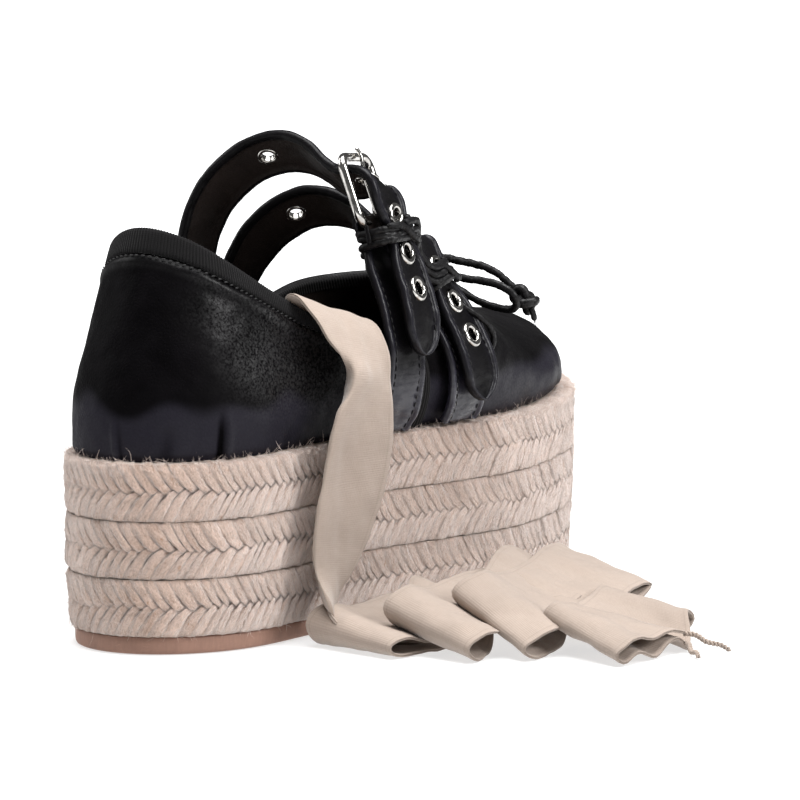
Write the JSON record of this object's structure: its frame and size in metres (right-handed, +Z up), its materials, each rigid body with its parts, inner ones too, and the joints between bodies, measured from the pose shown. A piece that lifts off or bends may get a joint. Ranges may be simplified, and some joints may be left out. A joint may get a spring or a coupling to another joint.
{
  "type": "platform espadrille ballet flat",
  "caption": "Low-cut leather flat on a thick braided-rope platform, with buckled instep straps, a cord bow at the throat and a loose ribbon tie.",
  "frame": {"origin": "on the ground under the middle of the heel seat, on the outsole's flat underside", "axes": "+Y from heel to toe, +X to the wearer's right (the outer side of this right shoe), +Z up"},
  "size_m": [0.1915, 0.2502, 0.1603],
  "materials": {
    "rubber": "matt brown",
    "jute": "braided natural jute rope",
    "lining": "dark lining leather",
    "nappa": "soft black nappa with a low sheen",
    "grosgrain": "ribbed black grosgrain",
    "cord": "round leather lace",
    "nickel": "bright plated wire",
    "ribbon": "beige cotton tape"
  },
  "bodies": {
    "root": {"outsole": "rubber", "rope_course_1": "jute", "rope_course_2": "jute", "rope_course_3": "jute", "insole": "lining", "upper": "nappa", "topline_binding": "grosgrain", "strap_rear": "nappa", "strap_front": "nappa", "strap_base_rear": "nappa", "strap_base_front": "nappa", "buckle_rear": "nickel", "buckle_front": "nickel", "prong_rear": "nickel", "prong_front": "nickel", "eyelet_rear_1": "nickel", "eyelet_rear_2": "nickel", "eyelet_rear_3": "nickel", "eyelet_front_1": "nickel", "eyelet_front_2": "nickel", "eyelet_front_3": "nickel", "keeper_rear": "cord", "keeper_front": "cord", "bow_knot": "cord", "bow_loop_outer": "cord", "bow_loop_inner": "cord", "bow_tail_outer": "cord", "bow_tail_inner": "cord", "ribbon_tie": "ribbon", "ribbon_pile": "ribbon"}
  },
  "joints": []
}
